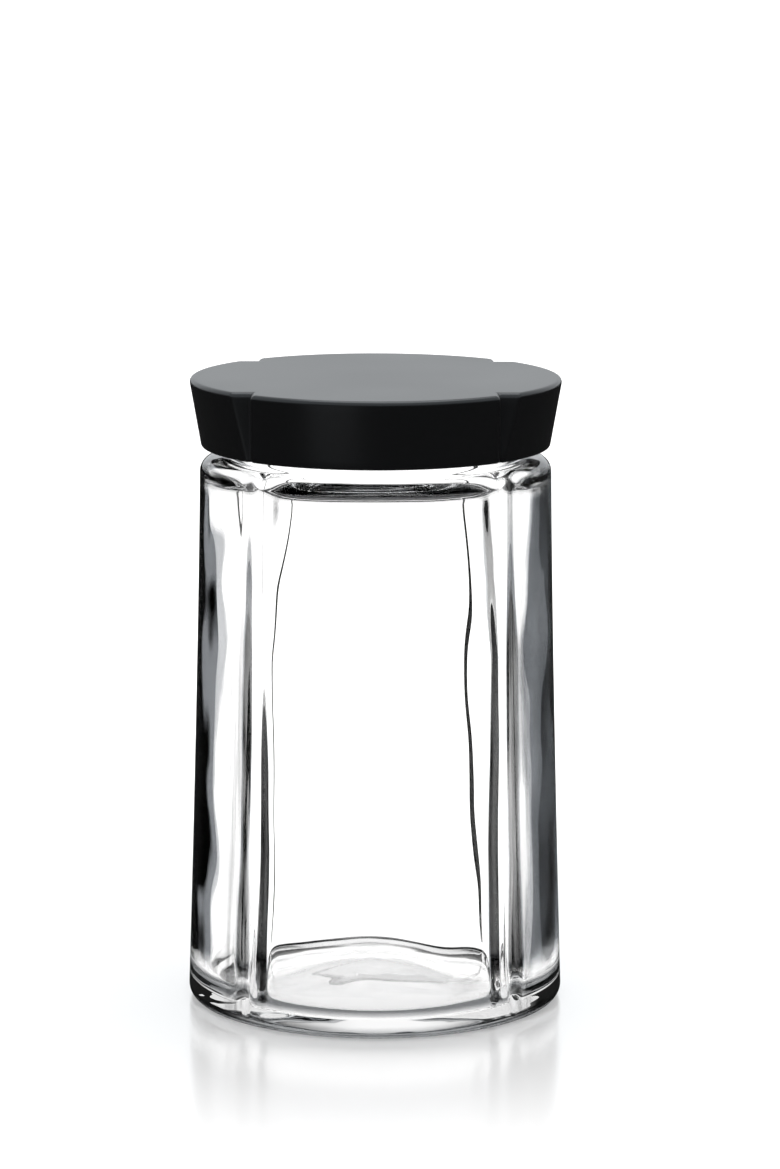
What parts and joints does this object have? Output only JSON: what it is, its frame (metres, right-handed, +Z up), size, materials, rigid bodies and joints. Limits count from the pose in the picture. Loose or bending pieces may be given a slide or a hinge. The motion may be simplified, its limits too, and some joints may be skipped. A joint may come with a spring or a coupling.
{
  "type": "glass storage jar",
  "caption": "Clear glass kitchen storage jar with grooved walls and a black push-in lid sealed by a silicone ring.",
  "frame": {"origin": "centre of the foot ring, on the surface that the jar stands on", "axes": "+Z up along the jar's axis; the four grooves of the glass lie midway between the X and Y axes"},
  "size_m": [0.1068, 0.1068, 0.1786],
  "materials": {
    "clear_glass": "clear, polished by fire, slightly wavy inside",
    "cap_plastic": "black moulded plastic, satin top and smooth flank",
    "plug_plastic": "black moulded plastic",
    "silicone": "soft grey silicone"
  },
  "bodies": {
    "jar": {"glass_jar": "clear_glass"},
    "seal": {"sealing_ring": "silicone"},
    "lid": {"lid_cap": "cap_plastic", "lid_plug": "plug_plastic"}
  },
  "joints": [
    {"name": "lid_lift", "type": "slide", "parent": "jar", "child": "seal", "axis": [0, 0, 1], "range_m": [0, 0.12]},
    {"name": "lid_turn", "type": "hinge", "parent": "seal", "child": "lid", "pos_m": [0, 0, 0.166], "axis": [0, 0, 1], "continuous": true}
  ]
}
